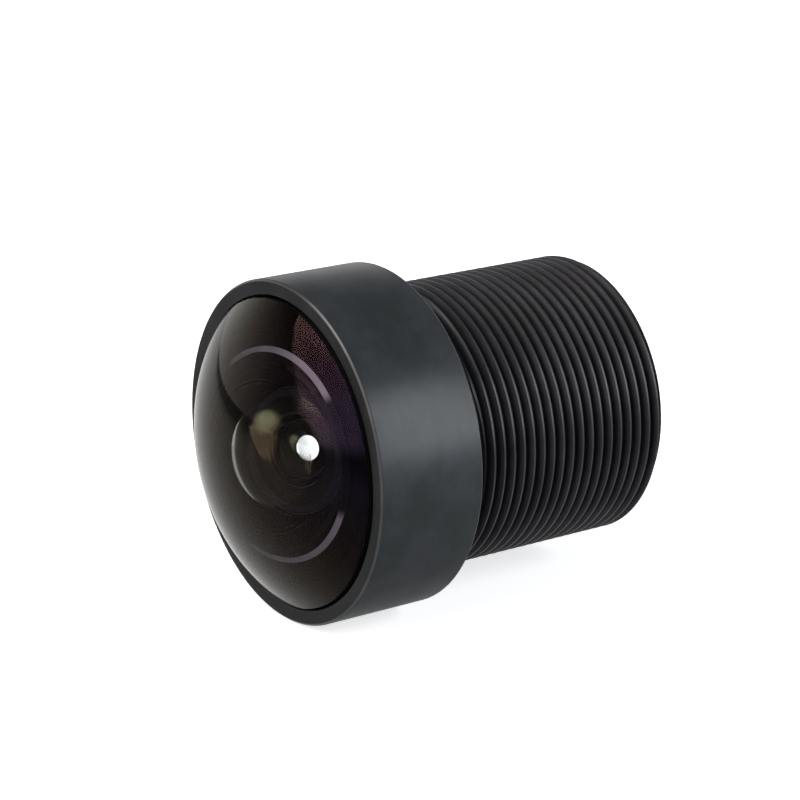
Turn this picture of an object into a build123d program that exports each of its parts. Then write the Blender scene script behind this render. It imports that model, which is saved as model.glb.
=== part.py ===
from build123d import *
import os
from math import ceil, copysign, sqrt

os.makedirs("parts", exist_ok=True)

# A board-camera fisheye lens. The optical axis is Y, the front glass looks along -Y, and the origin
# is on the axis in the plane of the shoulder behind the head. All lengths are in millimetres.

# Head and barrel
head_radius = 7.13
head_length = 4.88
ring_wall = 0.47
lip_width = 0.65
lip_thickness = 0.43
edge_chamfer = 0.08
lip_chamfer = 0.05
barrel_length = 10.4
end_chamfer_length = 0.35
end_chamfer_depth = 0.42
mouth_chamfer = 0.15

# Male thread, M12 x 0.5
thread_radius = 5.98
thread_pitch = 0.5
thread_depth_share = 0.614
thread_crest_share = 0.125
thread_root_share = 0.166
flank_overrun_share = 0.25
relief_length = 1.05
relief_extra = 0.05

# Fits
thread_fit = 0.04
glass_fit = 0.06
dome_gap = 0.10
seat_fit = 0.02
step_relief = 0.04
glass_bevel = 0.06
shield_thickness = 0.05
cut_overrun = 0.5

# Front glass, a meniscus with a deep hollow behind
front_curve = 9.6
front_edge = 0.543
front_flange = 1.06
hollow_curve = 3.47
hollow_mouth_share = 0.98

# Front seal
seal_section = 0.5
seal_squeeze = 0.06
seal_side_room = 0.05
seal_outer_wall = 0.26

# Baffle between the front glass and the second glass
baffle_thickness = 0.38
baffle_step = 0.45
baffle_reach = 0.45
baffle_front_room = 0.10
baffle_steps = 3

# Second glass
second_curve = 16.4
second_step = 1.0
second_centre = 0.60
second_hollow_curve = 2.61
second_mouth_share = 0.785

# Third glass
third_front_curve = 4.4
third_rear_curve = -56
third_radius = 2.9
third_front_land = 0.5
third_rear_land = 0.6
third_centre = 2.55
second_to_third = 0.677

# Stop
web_thickness = 0.552
web_lip = 0.7
stop_thickness = 0.10
stop_hole = 0.80
stop_flare = 0.06
stop_to_pair = 1.322
stop_spacer_lip = 0.95

# Cemented pair
pair_radius = 2.4
pair_front_curve = 16.33
pair_cement_curve = -2.96
pair_rear_curve = -5.8
pair_front_land = 0.2
pair_rear_land = 0.3
crown_centre = 2.574
flint_centre = 0.866

# Rear glass
rear_step = 0.4
rear_front_curve = 10.15
rear_rear_curve = -10.72
rear_front_land = 0.55
rear_rear_land = 0.4
rear_centre = 1.706
pair_to_rear = 0.909

# Retainer, filter and filter ring
retainer_length = 1.9
retainer_wall = 1.18
filter_radius = 3.0
filter_thickness = 0.4
filter_depth = 0.97
filter_lip = 0.35
filter_ring_width = 0.4
filter_ring_thickness = 0.2
filter_fit = 0.04
spanner_slots = 2
spanner_width = 0.8
spanner_depth = 0.5
spanner_wall = 0.3


def sag(curve, height):
    """Depth of a spherical surface below its vertex, at a height from the axis."""
    return curve - copysign(sqrt(curve**2 - height**2), curve)


def glass_arc(vertex, curve, height):
    """Arc of a polished surface from the axis out to its clear edge, in the radius and axis plane."""
    middle = height / 2
    ThreePointArc((0, vertex), (middle, vertex + sag(curve, middle)), (height, vertex + sag(curve, height)))


def bevelled_rim(radius, front, back):
    """Points down the ground edge of a glass, with a small bevel at each corner."""
    return [
        (radius - glass_bevel, front),
        (radius, front + glass_bevel),
        (radius, back - glass_bevel),
        (radius - glass_bevel, back),
    ]


# Radii that follow from the walls and fits
ring_bore = head_radius - ring_wall
flange_radius = ring_bore - thread_fit
glass_radius = ring_bore - glass_fit
lip_radius = head_radius - lip_width
dome_radius = lip_radius - dome_gap
thread_depth = thread_pitch * thread_depth_share
thread_root = thread_radius - thread_depth
relief_radius = thread_root - relief_extra
hollow_mouth = hollow_curve * hollow_mouth_share
second_radius = third_radius + second_step
second_clear = hollow_mouth - baffle_reach
second_mouth = second_hollow_curve * second_mouth_share
baffle_radius = second_radius + baffle_step
third_front_clear = third_radius - third_front_land
third_rear_clear = third_radius - third_rear_land
web_rear_radius = pair_radius - web_lip
stop_spacer_front_radius = pair_radius - stop_spacer_lip
pair_front_clear = pair_radius - pair_front_land
pair_rear_clear = pair_radius - pair_rear_land
rear_radius = pair_radius + rear_step
rear_front_clear = rear_radius - rear_front_land
rear_rear_clear = rear_radius - rear_rear_land
pocket_radius = filter_radius + filter_fit
retainer_radius = pocket_radius + retainer_wall
seal_outer = flange_radius - seal_outer_wall
seal_width = seal_section + 2 * seal_side_room
seal_inner = seal_outer - seal_width

# Places along the axis, from the front to the rear
lip_rear = -head_length + lip_thickness
front_vertex = lip_rear - front_edge - sag(front_curve, dome_radius)
seat = lip_rear + front_flange
hollow_vertex = seat - sag(hollow_curve, hollow_mouth)
second_rim = seat + baffle_thickness
second_vertex = second_rim - sag(second_curve, second_clear)
second_hollow_vertex = second_vertex + second_centre
second_back = second_hollow_vertex + sag(second_hollow_curve, second_mouth)
shield_back = second_back + shield_thickness
third_rim = shield_back + second_to_third
third_vertex = third_rim - sag(third_front_curve, third_front_clear)
third_rear_vertex = third_vertex + third_centre
third_back = third_rear_vertex + sag(third_rear_curve, third_rear_clear)
web_back = third_back + web_thickness
stop_back = web_back + stop_thickness
pair_rim = stop_back + stop_to_pair
pair_vertex = pair_rim - sag(pair_front_curve, pair_front_clear)
cement_vertex = pair_vertex + crown_centre
pair_rear_vertex = cement_vertex + flint_centre
pair_back = pair_rear_vertex + sag(pair_rear_curve, pair_rear_clear)
rear_rim = pair_back + pair_to_rear
rear_vertex = rear_rim - sag(rear_front_curve, rear_front_clear)
rear_rear_vertex = rear_vertex + rear_centre
rear_back = rear_rear_vertex + sag(rear_rear_curve, rear_rear_clear)
retainer_front = rear_back + shield_thickness
retainer_back = retainer_front + retainer_length
filter_front = retainer_front + filter_depth
filter_back = filter_front + filter_thickness


# Front ring: a turned shell whose lip holds the front glass
with BuildPart() as front_ring:
    with BuildSketch(Plane.XY):
        with BuildLine():
            Polyline(
                (lip_radius, -head_length),
                (head_radius, -head_length),
                (head_radius, 0),
                (ring_bore, 0),
                (ring_bore, lip_rear),
                (lip_radius, lip_rear),
                close=True,
            )
        make_face()
    revolve(axis=Axis.Y)
    outer_edges = front_ring.edges().filter_by(GeomType.CIRCLE).group_by(SortBy.RADIUS)[-1]
    chamfer(outer_edges, edge_chamfer)
    front_edges = front_ring.faces().sort_by(Axis.Y)[0].edges()
    chamfer(front_edges.sort_by(SortBy.RADIUS)[0], lip_chamfer)
front_ring.part.label = "front_ring"
export_step(front_ring.part, "parts/front_ring.step")

# Front lens: domed in front, hollow behind, with a flat flange under the lip
with BuildPart() as front_lens:
    with BuildSketch(Plane.XY):
        with BuildLine():
            glass_arc(front_vertex, front_curve, dome_radius)
            Polyline(
                (dome_radius, lip_rear - front_edge),
                (dome_radius, lip_rear),
                *bevelled_rim(glass_radius, lip_rear, seat),
                (hollow_mouth, seat),
            )
            glass_arc(hollow_vertex, hollow_curve, hollow_mouth)
            Line((0, hollow_vertex), (0, front_vertex))
        make_face()
    revolve(axis=Axis.Y)
front_lens.part.label = "front_lens"
export_step(front_lens.part, "parts/front_lens.step")

# Front seal: an O-ring squeezed flat where it meets the glass and the floor of its groove
seal_height = seal_section - seal_squeeze
seal_middle = seal_inner + seal_width / 2
with BuildPart() as front_seal:
    with BuildSketch(Plane.XY):
        with Locations((seal_middle, seat + seal_height / 2)):
            Circle(seal_section / 2)
            Rectangle(seal_width, seal_height, mode=Mode.INTERSECT)
    revolve(axis=Axis.Y)
front_seal.part.label = "front_seal"
export_step(front_seal.part, "parts/front_seal.step")

# Barrel: a flange inside the ring, the thread on the bar behind it, and a stepped bore for the glasses
barrel_mouth = retainer_radius + thread_fit
with BuildPart() as barrel:
    with BuildSketch(Plane.XY):
        with BuildLine():
            Polyline(
                (baffle_radius + seat_fit, seat),
                (flange_radius, seat),
                (flange_radius, 0),
                (thread_radius, 0),
                (thread_radius, barrel_length),
                (barrel_mouth + mouth_chamfer, barrel_length),
                (barrel_mouth, barrel_length - mouth_chamfer),
                (barrel_mouth, rear_back - step_relief),
                (rear_radius + seat_fit, rear_back - step_relief),
                (rear_radius + seat_fit, rear_rim - step_relief),
                (pair_radius + seat_fit, rear_rim - step_relief),
                (pair_radius + seat_fit, web_back),
                (web_rear_radius, web_back),
                (third_rear_clear, third_back),
                (third_radius + seat_fit, third_back),
                (third_radius + seat_fit, third_rim + step_relief),
                (second_radius + seat_fit, third_rim + step_relief),
                (second_radius + seat_fit, second_rim + step_relief),
                (baffle_radius + seat_fit, second_rim + step_relief),
                close=True,
            )
        make_face()
    revolve(axis=Axis.Y)
    # groove of the front seal, in the seat of the front glass
    with BuildSketch(Plane.XY):
        with Locations((seal_middle, seat + seal_height)):
            Rectangle(seal_width, seal_height + cut_overrun, align=(Align.CENTER, Align.MAX))
    revolve(axis=Axis.Y, mode=Mode.SUBTRACT)
    # thread groove, cut turn by turn from where the relief groove will be to past the rear end; its
    # flanks run on past the crest, but stay clear of the next turn
    thread_start = relief_length - thread_pitch
    thread_turns = ceil((barrel_length + thread_pitch - thread_start) / thread_pitch)
    root_half = thread_pitch * thread_root_share / 2
    crest_width = thread_pitch * thread_crest_share
    crest_half = (thread_pitch - crest_width) / 2
    flank_overrun = crest_width * flank_overrun_share
    flank_rise = flank_overrun * thread_depth / (crest_half - root_half)
    plain_volume = barrel.part.volume
    for turn in range(thread_turns):
        with BuildLine() as turn_path:
            Helix(
                pitch=thread_pitch,
                height=thread_pitch,
                radius=thread_radius,
                center=(0, thread_start + turn * thread_pitch, 0),
                direction=(0, 1, 0),
            )
        with BuildSketch(Plane(origin=turn_path.line @ 0, x_dir=(0, 0, 1), z_dir=(1, 0, 0))):
            with BuildLine():
                Polyline(
                    (-thread_depth, -root_half),
                    (flank_rise, -crest_half - flank_overrun),
                    (flank_rise, crest_half + flank_overrun),
                    (-thread_depth, root_half),
                    close=True,
                )
            make_face()
        sweep(path=turn_path.line, is_frenet=True, mode=Mode.SUBTRACT)
    groove_volume = plain_volume - barrel.part.volume
    # relief groove behind the shoulder, and the chamfer of the rear end
    with BuildSketch(Plane.XY):
        with BuildLine():
            Polyline(
                (relief_radius, 0),
                (relief_radius, relief_length - relief_extra),
                (thread_radius, relief_length + thread_depth),
                (thread_radius + cut_overrun, relief_length + thread_depth + cut_overrun),
                (thread_radius + cut_overrun, 0),
                close=True,
            )
        make_face()
        with BuildLine():
            Polyline(
                (thread_radius, barrel_length - end_chamfer_length),
                (thread_radius - end_chamfer_depth, barrel_length),
                (thread_radius + cut_overrun, barrel_length),
                (thread_radius + cut_overrun, barrel_length - end_chamfer_length),
                close=True,
            )
        make_face()
    revolve(axis=Axis.Y, mode=Mode.SUBTRACT)
barrel.part.label = "barrel"
export_step(barrel.part, "parts/barrel.step")

# Front baffle: a black ring with fine steps that catch stray light
step_run = (hollow_mouth + baffle_front_room - second_clear) / baffle_steps
step_rise = baffle_thickness / baffle_steps
baffle_points = []
for step in range(baffle_steps):
    step_radius = second_clear + step * step_run
    step_place = second_rim - step * step_rise
    baffle_points.append((step_radius, step_place))
    baffle_points.append((step_radius + step_run / 2, step_place - step_rise))
with BuildPart() as front_baffle:
    with BuildSketch(Plane.XY):
        with BuildLine():
            Polyline(
                *baffle_points,
                (hollow_mouth + baffle_front_room, seat),
                (baffle_radius, seat),
                (baffle_radius, second_rim),
                close=True,
            )
        make_face()
    revolve(axis=Axis.Y)
front_baffle.part.label = "front_baffle"
export_step(front_baffle.part, "parts/front_baffle.step")

# Second lens: nearly flat in front, hollow behind
with BuildPart() as second_lens:
    with BuildSketch(Plane.XY):
        with BuildLine():
            glass_arc(second_vertex, second_curve, second_clear)
            Polyline(
                (second_clear, second_rim),
                *bevelled_rim(second_radius, second_rim, second_back),
                (second_mouth, second_back),
            )
            glass_arc(second_hollow_vertex, second_hollow_curve, second_mouth)
            Line((0, second_hollow_vertex), (0, second_vertex))
        make_face()
    revolve(axis=Axis.Y)
second_lens.part.label = "second_lens"
export_step(second_lens.part, "parts/second_lens.step")

# Front shield: a thin black washer behind the second lens
with BuildPart() as front_shield:
    with BuildSketch(Plane.XZ.offset(-second_back)):
        Circle(second_radius)
        Circle(second_mouth, mode=Mode.SUBTRACT)
    extrude(amount=-shield_thickness)
front_shield.part.label = "front_shield"
export_step(front_shield.part, "parts/front_shield.step")

# Second spacer: sets the gap from the second lens to the third
with BuildPart() as second_spacer:
    with BuildSketch(Plane.XY):
        with BuildLine():
            Polyline(
                (second_mouth, shield_back),
                (second_radius, shield_back),
                (second_radius, third_rim),
                (third_front_clear, third_rim),
                close=True,
            )
        make_face()
    revolve(axis=Axis.Y)
second_spacer.part.label = "second_spacer"
export_step(second_spacer.part, "parts/second_spacer.step")

# Third lens: the thick positive glass, seated on the web of the barrel
with BuildPart() as third_lens:
    with BuildSketch(Plane.XY):
        with BuildLine():
            glass_arc(third_vertex, third_front_curve, third_front_clear)
            Polyline(
                (third_front_clear, third_rim),
                *bevelled_rim(third_radius, third_rim, third_back),
                (third_rear_clear, third_back),
            )
            glass_arc(third_rear_vertex, third_rear_curve, third_rear_clear)
            Line((0, third_rear_vertex), (0, third_vertex))
        make_face()
    revolve(axis=Axis.Y)
third_lens.part.label = "third_lens"
export_step(third_lens.part, "parts/third_lens.step")

# Aperture stop: a thin washer with a knife edge round its hole
with BuildPart() as aperture_stop:
    with BuildSketch(Plane.XY):
        with BuildLine():
            Polyline(
                (stop_hole, web_back),
                (pair_radius, web_back),
                (pair_radius, stop_back),
                (stop_hole + stop_flare, stop_back),
                close=True,
            )
        make_face()
    revolve(axis=Axis.Y)
aperture_stop.part.label = "aperture_stop"
export_step(aperture_stop.part, "parts/aperture_stop.step")

# Stop spacer: a cone that opens from the stop to the cemented pair
with BuildPart() as stop_spacer:
    with BuildSketch(Plane.XY):
        with BuildLine():
            Polyline(
                (stop_spacer_front_radius, stop_back),
                (pair_radius, stop_back),
                (pair_radius, pair_rim),
                (pair_front_clear, pair_rim),
                close=True,
            )
        make_face()
    revolve(axis=Axis.Y)
stop_spacer.part.label = "stop_spacer"
export_step(stop_spacer.part, "parts/stop_spacer.step")

# Front glass of the cemented pair
with BuildPart() as doublet_front:
    with BuildSketch(Plane.XY):
        with BuildLine():
            glass_arc(pair_vertex, pair_front_curve, pair_front_clear)
            Polyline(
                (pair_front_clear, pair_rim),
                (pair_radius, pair_rim),
                (pair_radius, cement_vertex + sag(pair_cement_curve, pair_radius)),
            )
            glass_arc(cement_vertex, pair_cement_curve, pair_radius)
            Line((0, cement_vertex), (0, pair_vertex))
        make_face()
    revolve(axis=Axis.Y)
doublet_front.part.label = "doublet_front"
export_step(doublet_front.part, "parts/doublet_front.step")

# Rear glass of the cemented pair
with BuildPart() as doublet_rear:
    with BuildSketch(Plane.XY):
        with BuildLine():
            glass_arc(cement_vertex, pair_cement_curve, pair_radius)
            Polyline(
                (pair_radius, cement_vertex + sag(pair_cement_curve, pair_radius)),
                (pair_radius, pair_back),
                (pair_rear_clear, pair_back),
            )
            glass_arc(pair_rear_vertex, pair_rear_curve, pair_rear_clear)
            Line((0, pair_rear_vertex), (0, cement_vertex))
        make_face()
    revolve(axis=Axis.Y)
doublet_rear.part.label = "doublet_rear"
export_step(doublet_rear.part, "parts/doublet_rear.step")

# Rear spacer: between the cemented pair and the rear lens
with BuildPart() as rear_spacer:
    with BuildSketch(Plane.XY):
        with BuildLine():
            Polyline(
                (pair_rear_clear, pair_back),
                (pair_radius, pair_back),
                (pair_radius, rear_rim),
                (rear_front_clear, rear_rim),
                close=True,
            )
        make_face()
    revolve(axis=Axis.Y)
rear_spacer.part.label = "rear_spacer"
export_step(rear_spacer.part, "parts/rear_spacer.step")

# Rear lens: the last positive glass
with BuildPart() as rear_lens:
    with BuildSketch(Plane.XY):
        with BuildLine():
            glass_arc(rear_vertex, rear_front_curve, rear_front_clear)
            Polyline(
                (rear_front_clear, rear_rim),
                *bevelled_rim(rear_radius, rear_rim, rear_back),
                (rear_rear_clear, rear_back),
            )
            glass_arc(rear_rear_vertex, rear_rear_curve, rear_rear_clear)
            Line((0, rear_rear_vertex), (0, rear_vertex))
        make_face()
    revolve(axis=Axis.Y)
rear_lens.part.label = "rear_lens"
export_step(rear_lens.part, "parts/rear_lens.step")

# Rear shield: a thin black washer between the rear lens and the retainer
with BuildPart() as rear_shield:
    with BuildSketch(Plane.XZ.offset(-rear_back)):
        Circle(rear_radius)
        Circle(rear_rear_clear, mode=Mode.SUBTRACT)
    extrude(amount=-shield_thickness)
rear_shield.part.label = "rear_shield"
export_step(rear_shield.part, "parts/rear_shield.step")

# Rear retainer: a screw-in ring with a pocket for the filter and two slots for a spanner
with BuildPart() as rear_retainer:
    with BuildSketch(Plane.XY):
        with BuildLine():
            Polyline(
                (rear_rear_clear, retainer_front),
                (retainer_radius, retainer_front),
                (retainer_radius, retainer_back),
                (pocket_radius, retainer_back),
                (pocket_radius, filter_front),
                (filter_radius - filter_lip, filter_front),
                close=True,
            )
        make_face()
    revolve(axis=Axis.Y)
    slot_inner = pocket_radius + spanner_wall
    slot_length = retainer_radius + cut_overrun - slot_inner
    with BuildSketch(Plane.XZ.offset(-retainer_back)):
        with PolarLocations(slot_inner, spanner_slots):
            Rectangle(slot_length, spanner_width, align=(Align.MIN, Align.CENTER))
    extrude(amount=spanner_depth, mode=Mode.SUBTRACT)
    rim_edges = rear_retainer.edges().filter_by(GeomType.CIRCLE).group_by(SortBy.RADIUS)[-1]
    chamfer(rim_edges.group_by(Axis.Y)[0], edge_chamfer)
rear_retainer.part.label = "rear_retainer"
export_step(rear_retainer.part, "parts/rear_retainer.step")

# Infrared filter: a thin plane plate in the pocket
with BuildPart() as ir_filter:
    with BuildSketch(Plane.XZ.offset(-filter_front)):
        Circle(filter_radius)
    extrude(amount=-filter_thickness)
ir_filter.part.label = "ir_filter"
export_step(ir_filter.part, "parts/ir_filter.step")

# Filter ring: keeps the filter in its pocket
with BuildPart() as filter_ring:
    with BuildSketch(Plane.XZ.offset(-filter_back)):
        Circle(filter_radius)
        Circle(filter_radius - filter_ring_width, mode=Mode.SUBTRACT)
    extrude(amount=-filter_ring_thickness)
filter_ring.part.label = "filter_ring"
export_step(filter_ring.part, "parts/filter_ring.step")

print(f"front vertex {front_vertex:.3f}, hollow {hollow_vertex:.3f}, seat {seat:.3f}, second {second_vertex:.3f}")
print(f"second hollow {second_hollow_vertex:.3f}, third {third_vertex:.3f} to {third_rear_vertex:.3f}, stop {web_back:.3f}")
print(f"pair {pair_vertex:.3f}, {cement_vertex:.3f}, {pair_rear_vertex:.3f}, rear {rear_vertex:.3f} to {rear_rear_vertex:.3f}")
print(f"retainer {retainer_front:.3f} to {retainer_back:.3f}, filter {filter_front:.3f}")
print(f"thread root {thread_root:.3f}, retainer radius {retainer_radius:.3f}, flange radius {flange_radius:.3f}")
print(f"thread groove of {thread_turns} turns takes away {groove_volume:.1f} cubic millimetres")
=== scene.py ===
import math
import bmesh
import bpy
import numpy as np
from mathutils import Matrix, Vector


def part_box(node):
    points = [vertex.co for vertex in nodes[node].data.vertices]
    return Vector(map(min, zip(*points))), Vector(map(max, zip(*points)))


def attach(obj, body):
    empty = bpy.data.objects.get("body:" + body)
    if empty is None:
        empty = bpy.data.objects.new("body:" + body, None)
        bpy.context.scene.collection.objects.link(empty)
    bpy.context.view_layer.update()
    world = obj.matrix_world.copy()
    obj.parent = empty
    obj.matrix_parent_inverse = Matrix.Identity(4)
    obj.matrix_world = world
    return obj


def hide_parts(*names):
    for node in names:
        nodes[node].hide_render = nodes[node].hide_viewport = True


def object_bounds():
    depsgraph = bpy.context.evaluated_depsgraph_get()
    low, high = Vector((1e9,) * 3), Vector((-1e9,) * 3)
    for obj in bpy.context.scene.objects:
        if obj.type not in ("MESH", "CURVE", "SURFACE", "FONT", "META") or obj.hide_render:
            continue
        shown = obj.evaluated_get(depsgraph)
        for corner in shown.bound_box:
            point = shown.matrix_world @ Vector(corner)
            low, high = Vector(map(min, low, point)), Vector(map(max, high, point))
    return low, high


# A small fisheye lens for a board camera. The optical axis is Y, and the front glass looks along -Y
mm = 0.001
white, black = (1.0, 1.0, 1.0), (0.0, 0.0, 0.0)

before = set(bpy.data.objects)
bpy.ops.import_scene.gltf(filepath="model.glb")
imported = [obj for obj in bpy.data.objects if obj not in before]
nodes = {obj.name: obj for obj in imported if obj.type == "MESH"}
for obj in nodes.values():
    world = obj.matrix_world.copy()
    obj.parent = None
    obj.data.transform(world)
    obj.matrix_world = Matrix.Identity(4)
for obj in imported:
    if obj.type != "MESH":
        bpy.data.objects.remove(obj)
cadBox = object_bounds()
scene = bpy.context.scene
print("frame loaded,", len(nodes), "nodes")


# Shader node helpers

def addNode(tree, kind, values=None, **settings):
    # one shader node, its settings and its plain input values
    made = tree.nodes.new(kind)
    for name, value in settings.items():
        setattr(made, name, value)
    for name, value in (values or {}).items():
        made.inputs[name].default_value = value
    return made


def join(tree, start, end):
    tree.links.new(start, end)


def rgba(colour):
    return (*colour, 1.0)


def feed(tree, socket, value):
    # a socket takes a plain number, a colour or another socket
    if isinstance(value, (int, float)):
        socket.default_value = value
    elif isinstance(value, tuple):
        socket.default_value = rgba(value)
    else:
        join(tree, value, socket)


def mathNode(tree, operation, first, second=None):
    made = addNode(tree, "ShaderNodeMath", operation=operation)
    feed(tree, made.inputs[0], first)
    if second is not None:
        feed(tree, made.inputs[1], second)
    return made.outputs[0]


def ramp(tree, value, low, high, toLow=0.0, toHigh=1.0, kind="SMOOTHSTEP"):
    # maps a value from low..high to toLow..toHigh and holds it there
    made = addNode(tree, "ShaderNodeMapRange", clamp=True, interpolation_type=kind)
    limits = {"Value": value, "From Min": low, "From Max": high, "To Min": toLow, "To Max": toHigh}
    for name, given in limits.items():
        feed(tree, made.inputs[name], given)
    return made.outputs["Result"]


def choose(tree, factor, first, second):
    # the first value where factor is 0, the second where it is 1
    return ramp(tree, factor, 0.0, 1.0, first, second, "LINEAR")


def mixColour(tree, factor, first, second):
    # the node's sockets for colours are 0, 6 and 7, and 2 among its outputs
    made = addNode(tree, "ShaderNodeMix", data_type="RGBA")
    for place, value in ((0, factor), (6, first), (7, second)):
        feed(tree, made.inputs[place], value)
    return made.outputs[2]


def axisRadius(tree, parts):
    # distance from the Y axis: sqrt(x^2 + z^2)
    across = mathNode(tree, "MULTIPLY", parts.outputs["X"], parts.outputs["X"])
    upright = mathNode(tree, "MULTIPLY", parts.outputs["Z"], parts.outputs["Z"])
    return mathNode(tree, "SQRT", mathNode(tree, "ADD", across, upright))


def newGroup(name, inputs, outputs):
    # a shader node group with named sockets and their kinds. Each use gives the inputs their values
    tree = bpy.data.node_groups.new(name, "ShaderNodeTree")
    for side, sockets in (("INPUT", inputs), ("OUTPUT", outputs)):
        for label, kind in sockets.items():
            tree.interface.new_socket(name=label, in_out=side, socket_type="NodeSocket" + kind)
    return tree, tree.nodes.new("NodeGroupInput").outputs, tree.nodes.new("NodeGroupOutput").inputs


def useGroup(tree, group, place, values):
    # one use of a shared group, with its own plain values and the object's own coordinates
    made = addNode(tree, "ShaderNodeGroup", node_tree=group)
    join(tree, place, made.inputs["Place"])
    for name, value in values.items():
        made.inputs[name].default_value = value
    return made


# Shared effects

effects = dict(
    markDetail=3.0, markRoughness=0.7,
    cloudScale=420.0, cloudDetail=4.0, cloudRoughness=0.6, cloudFrom=0.35, cloudTo=0.68,
    grainScale=14000.0, grainDetail=2.0, grainRoughness=0.6, grainHeight=0.25,
    dustScale=900.0, dustFrom=0.91, dustTo=0.93,  # about one cell in twelve holds a speck
    speckInner=0.0315, speckOuter=0.0585,  # radii, in widths of a cell
    dustColour=(0.20, 0.20, 0.19), dustRoughness=0.3,
)


def makeTurnedFinish():
    # black anodising on a turned surface: fine marks that run round the axis, a faint cloud, a fine
    # grain and rare dust specks, all worked out from the place on the part
    tree, given, out = newGroup(
        "turnedFinish",
        {
            "Place": "Vector", "Colour": "Color", "Cloud Colour": "Color", "Roughness": "Float",
            "Roughness Spread": "Float", "Mark Scale": "Float", "Mark Depth": "Float",
            "Speckle": "Float", "Dust": "Float",
        },
        {"Colour": "Color", "Roughness": "Float", "Height": "Float"},
    )
    parts = addNode(tree, "ShaderNodeSeparateXYZ")
    join(tree, given["Place"], parts.inputs[0])
    # marks depend on the distance from the axis and along it alone, so they run round
    turnedPlace = addNode(tree, "ShaderNodeCombineXYZ")
    join(tree, axisRadius(tree, parts), turnedPlace.inputs["X"])
    join(tree, parts.outputs["Y"], turnedPlace.inputs["Y"])
    marks = addNode(tree, "ShaderNodeTexNoise", {
        "Detail": effects["markDetail"], "Roughness": effects["markRoughness"]})
    join(tree, turnedPlace.outputs[0], marks.inputs["Vector"])
    join(tree, given["Mark Scale"], marks.inputs["Scale"])
    cloud, grain = [addNode(tree, "ShaderNodeTexNoise", {
        "Scale": effects[kind + "Scale"], "Detail": effects[kind + "Detail"],
        "Roughness": effects[kind + "Roughness"]}) for kind in ("cloud", "grain")]
    cells = addNode(tree, "ShaderNodeTexVoronoi", {"Scale": effects["dustScale"], "Randomness": 1.0})
    for texture in (cloud, grain, cells):
        join(tree, given["Place"], texture.inputs["Vector"])

    cellParts = addNode(tree, "ShaderNodeSeparateColor")
    join(tree, cells.outputs["Color"], cellParts.inputs[0])
    chosen = ramp(tree, cellParts.outputs[0], effects["dustFrom"], effects["dustTo"])
    small = ramp(tree, cells.outputs["Distance"], effects["speckInner"], effects["speckOuter"], 1.0, 0.0)
    speck = mathNode(tree, "MULTIPLY", mathNode(tree, "MULTIPLY", chosen, small), given["Dust"])

    cloudy = ramp(tree, cloud.outputs[0], effects["cloudFrom"], effects["cloudTo"])
    clouded = mixColour(tree, cloudy, given["Colour"], given["Cloud Colour"])
    # noise runs from 0 to 1, so it swings about 0.5
    grainy = mathNode(tree, "MULTIPLY", mathNode(tree, "SUBTRACT", grain.outputs[0], 0.5), given["Speckle"])
    shaded = addNode(tree, "ShaderNodeVectorMath", operation="SCALE")
    join(tree, clouded, shaded.inputs[0])
    join(tree, mathNode(tree, "ADD", 1.0, grainy), shaded.inputs["Scale"])
    join(tree, mixColour(tree, speck, shaded.outputs[0], effects["dustColour"]), out["Colour"])

    swing = mathNode(tree, "SUBTRACT", mathNode(tree, "MULTIPLY", marks.outputs[0], 2.0), 1.0)
    spread = mathNode(tree, "MULTIPLY", swing, given["Roughness Spread"])
    rougher = mathNode(tree, "MULTIPLY", speck, effects["dustRoughness"])
    swung = mathNode(tree, "ADD", given["Roughness"], spread)
    join(tree, mathNode(tree, "ADD", swung, rougher), out["Roughness"])
    height = mathNode(tree, "MULTIPLY", marks.outputs[0], given["Mark Depth"])
    grainHeight = mathNode(tree, "MULTIPLY", grain.outputs[0], effects["grainHeight"])
    join(tree, mathNode(tree, "ADD", height, grainHeight), out["Height"])
    return tree


def makeRingMask():
    # 1 where the distance from the axis lies under Low, 0 over High, smooth between
    tree, given, out = newGroup(
        "ringMask", {"Place": "Vector", "Low": "Float", "High": "Float"}, {"Mask": "Float"})
    parts = addNode(tree, "ShaderNodeSeparateXYZ")
    join(tree, given["Place"], parts.inputs[0])
    join(tree, ramp(tree, axisRadius(tree, parts), given["Low"], given["High"], 1.0, 0.0), out["Mask"])
    return tree


turnedFinish = makeTurnedFinish()
ringMask = makeRingMask()


# Materials

def newMaterial(name, shaderValues):
    # a material with plain values on its shader's own sockets
    made = bpy.data.materials.new(name)
    made.use_nodes = True
    tree = made.node_tree
    shader = tree.nodes["Principled BSDF"]
    for label, value in shaderValues.items():
        shader.inputs[label].default_value = value
    place = tree.nodes.new("ShaderNodeTexCoord").outputs["Object"]
    return made, tree, shader, place


headLook = dict(
    colour=(0.0130, 0.0158, 0.0166), cloudColour=(0.0205, 0.0232, 0.0268),
    roughness=0.34, roughnessSpread=0.10, specular=0.14,
    markScale=26000.0, markDepth=0.35, speckle=0.35, dust=0.10, bump=0.25, bumpHeight=0.004 * mm,
)
# turned edges are worn a little brighter and smoother
edgeLook = dict(
    headLook, colour=(0.022, 0.025, 0.028), cloudColour=(0.038, 0.041, 0.046),
    roughness=0.26, specular=0.42,
)
# the lip's flat front face: a darker copy of the head's finish, a painted shade
shadedLipLook = dict(
    headLook, colour=(0.0085, 0.0100, 0.0100), cloudColour=(0.0130, 0.0145, 0.0150), specular=0.08,
)
barrelLook = dict(
    headLook, colour=(0.016, 0.017, 0.020), cloudColour=(0.025, 0.026, 0.031),
    # the thread's roots take a darker colour, a painted shade in the grooves, which fades out from
    # grooveFrom to grooveTo over the root
    grooveShadeColour=(0.0025, 0.0025, 0.0032), grooveFrom=0.03 * mm, grooveTo=0.27 * mm,
    roughness=0.38, roughnessSpread=0.16, specular=0.18,
    markScale=18000.0, markDepth=0.45, speckle=0.95, dust=0.45, bump=0.5,
)
innerLook = dict(
    headLook, colour=(0.008, 0.009, 0.012), cloudColour=(0.013, 0.014, 0.018),
    roughness=0.62, specular=0.10, markScale=14000.0, markDepth=0.25, speckle=0.3, dust=0.0,
)
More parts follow.
